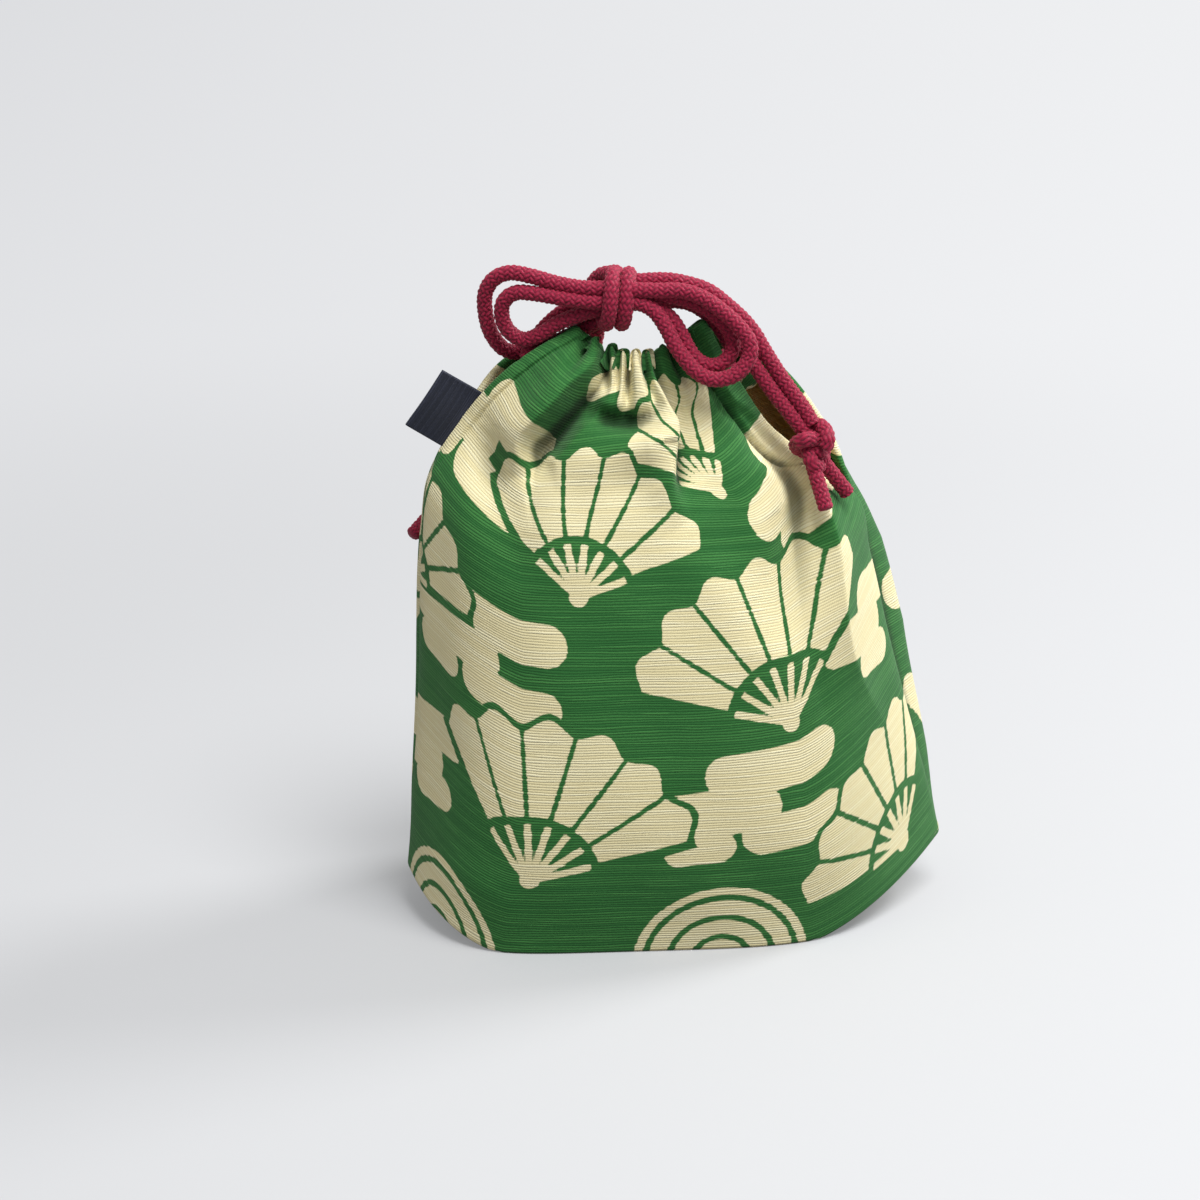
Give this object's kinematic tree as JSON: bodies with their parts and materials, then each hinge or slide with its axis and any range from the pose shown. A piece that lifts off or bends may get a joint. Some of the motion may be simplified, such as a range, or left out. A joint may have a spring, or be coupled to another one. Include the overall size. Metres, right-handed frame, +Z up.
{
  "type": "drawstring lunch bag",
  "caption": "Boat-based drawstring cloth bag with side slits, a cord casing round the gathered mouth, twin cords tied in a bow and a folded side label.",
  "frame": {"origin": "middle of the flat base, on the surface that the bag stands on", "axes": "+Z up, +X to the viewer's right along the base, front wall toward -Y"},
  "size_m": [0.168, 0.0955, 0.2148],
  "materials": {
    "printed_cotton": "slub cotton, matt, printed",
    "lining_cotton": "plain cotton, matt",
    "cord": "braided cord, soft sheen",
    "label_weave": "woven tape, bare"
  },
  "bodies": {
    "bag": {"front_panel": "printed_cotton", "rear_panel": "printed_cotton", "base_panel": "printed_cotton", "front_lining": "lining_cotton", "rear_lining": "lining_cotton", "base_lining": "lining_cotton", "front_casing": "printed_cotton", "rear_casing": "printed_cotton", "left_cord_run": "cord", "right_cord_run": "cord", "left_front_riser": "cord", "left_rear_riser": "cord", "right_front_riser": "cord", "right_rear_riser": "cord", "bow_knot": "cord"},
    "left_bow_loop": {"left_loop_outer": "cord", "left_loop_inner": "cord"},
    "right_bow_loop": {"right_loop_outer": "cord", "right_loop_inner": "cord"},
    "right_tail": {"right_tail_outer": "cord", "right_tail_inner": "cord", "right_end_knot": "cord", "right_tip_outer": "cord", "right_tip_inner": "cord"},
    "left_tail": {"left_tail_outer": "cord", "left_tail_inner": "cord", "left_end_knot": "cord", "left_tip_outer": "cord", "left_tip_inner": "cord"},
    "label": {"side_label": "label_weave"}
  },
  "joints": [
    {"name": "left_loop_lift", "type": "hinge", "parent": "bag", "child": "left_bow_loop", "pos_m": [-0.018, -0.0105, 0.2005], "axis": [0, 1, 0], "range_deg": [0, 40]},
    {"name": "right_loop_lift", "type": "hinge", "parent": "bag", "child": "right_bow_loop", "pos_m": [-0.018, -0.0105, 0.2005], "axis": [0, -1, 0], "range_deg": [0, 60]},
    {"name": "right_tail_lift", "type": "hinge", "parent": "bag", "child": "right_tail", "pos_m": [-0.018, -0.0105, 0.2005], "axis": [0, -1, 0], "range_deg": [0, 70]},
    {"name": "left_tail_lift", "type": "hinge", "parent": "bag", "child": "left_tail", "pos_m": [-0.018, -0.0105, 0.2005], "axis": [0, 1, 0], "range_deg": [0, 80]},
    {"name": "label_flex", "type": "hinge", "parent": "bag", "child": "label", "pos_m": [-0.06501, 0, 0.1601], "axis": [0.5701, 0, 0.8216], "range_deg": [-40, 40], "stiffness_Nm_per_rad": 0.002}
  ]
}
